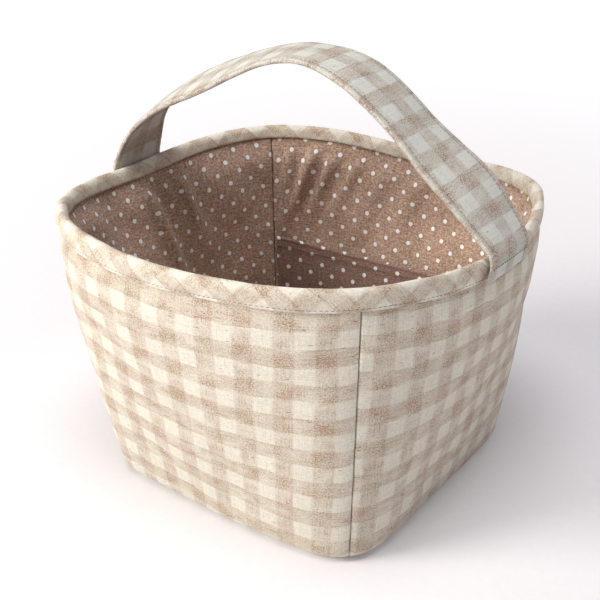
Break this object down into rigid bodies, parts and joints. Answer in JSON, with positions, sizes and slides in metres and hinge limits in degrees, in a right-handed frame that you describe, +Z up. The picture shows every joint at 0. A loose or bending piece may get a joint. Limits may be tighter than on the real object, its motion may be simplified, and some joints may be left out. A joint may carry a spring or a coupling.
{
  "type": "sewing basket",
  "caption": "Soft padded fabric sewing basket, a square tapered tub with a bound rim, a dotted lining, an inner patch pocket and a flat carrying strap over the top.",
  "frame": {"origin": "middle of the flat underside", "axes": "+X towards the right-hand end of the strap, +Y towards the wall that carries the inner pocket, +Z up"},
  "size_m": [0.2594, 0.2496, 0.2411],
  "materials": {
    "gingham_cloth": "matte woven linen, cream and beige gingham of 10 mm checks with slubs",
    "bias_binding": "matte woven linen gingham cut on the bias",
    "strap_cloth": "matte woven linen gingham laid square to the strap",
    "dotted_lining": "matte natural brown linen printed with small white dots",
    "wadding": "soft matte felted wadding",
    "interfacing": "matte non-woven interfacing",
    "sewing_thread": "twisted spun thread, brown",
    "strap_thread": "twisted spun thread, beige",
    "pocket_thread": "twisted spun thread, light beige"
  },
  "bodies": {
    "basket": {"outer_front_panel": "gingham_cloth", "wadding_front": "wadding", "lining_front_panel": "dotted_lining", "outer_right_panel": "gingham_cloth", "wadding_right": "wadding", "lining_right_panel": "dotted_lining", "outer_back_panel": "gingham_cloth", "wadding_back": "wadding", "lining_back_panel": "dotted_lining", "outer_left_panel": "gingham_cloth", "wadding_left": "wadding", "lining_left_panel": "dotted_lining", "outer_base_panel": "gingham_cloth", "base_stiffener": "wadding", "lining_base_panel": "dotted_lining", "rim_binding": "bias_binding", "binding_stitching": "sewing_thread", "pocket_panel": "dotted_lining", "pocket_hem_stitching": "pocket_thread", "handle_end_left": "strap_cloth", "handle_end_right": "strap_cloth", "handle_end_stitching_left": "sewing_thread", "handle_end_stitching_right": "sewing_thread"},
    "handle": {"handle_sleeve": "strap_cloth", "handle_interfacing": "interfacing", "handle_topstitching_front": "strap_thread", "handle_topstitching_back": "strap_thread"}
  },
  "joints": [
    {"name": "handle_swing", "type": "hinge", "parent": "basket", "child": "handle", "pos_m": [0, 0, 0.157], "axis": [1, 0, 0], "range_deg": [-30, 30], "stiffness_Nm_per_rad": 0.05}
  ]
}
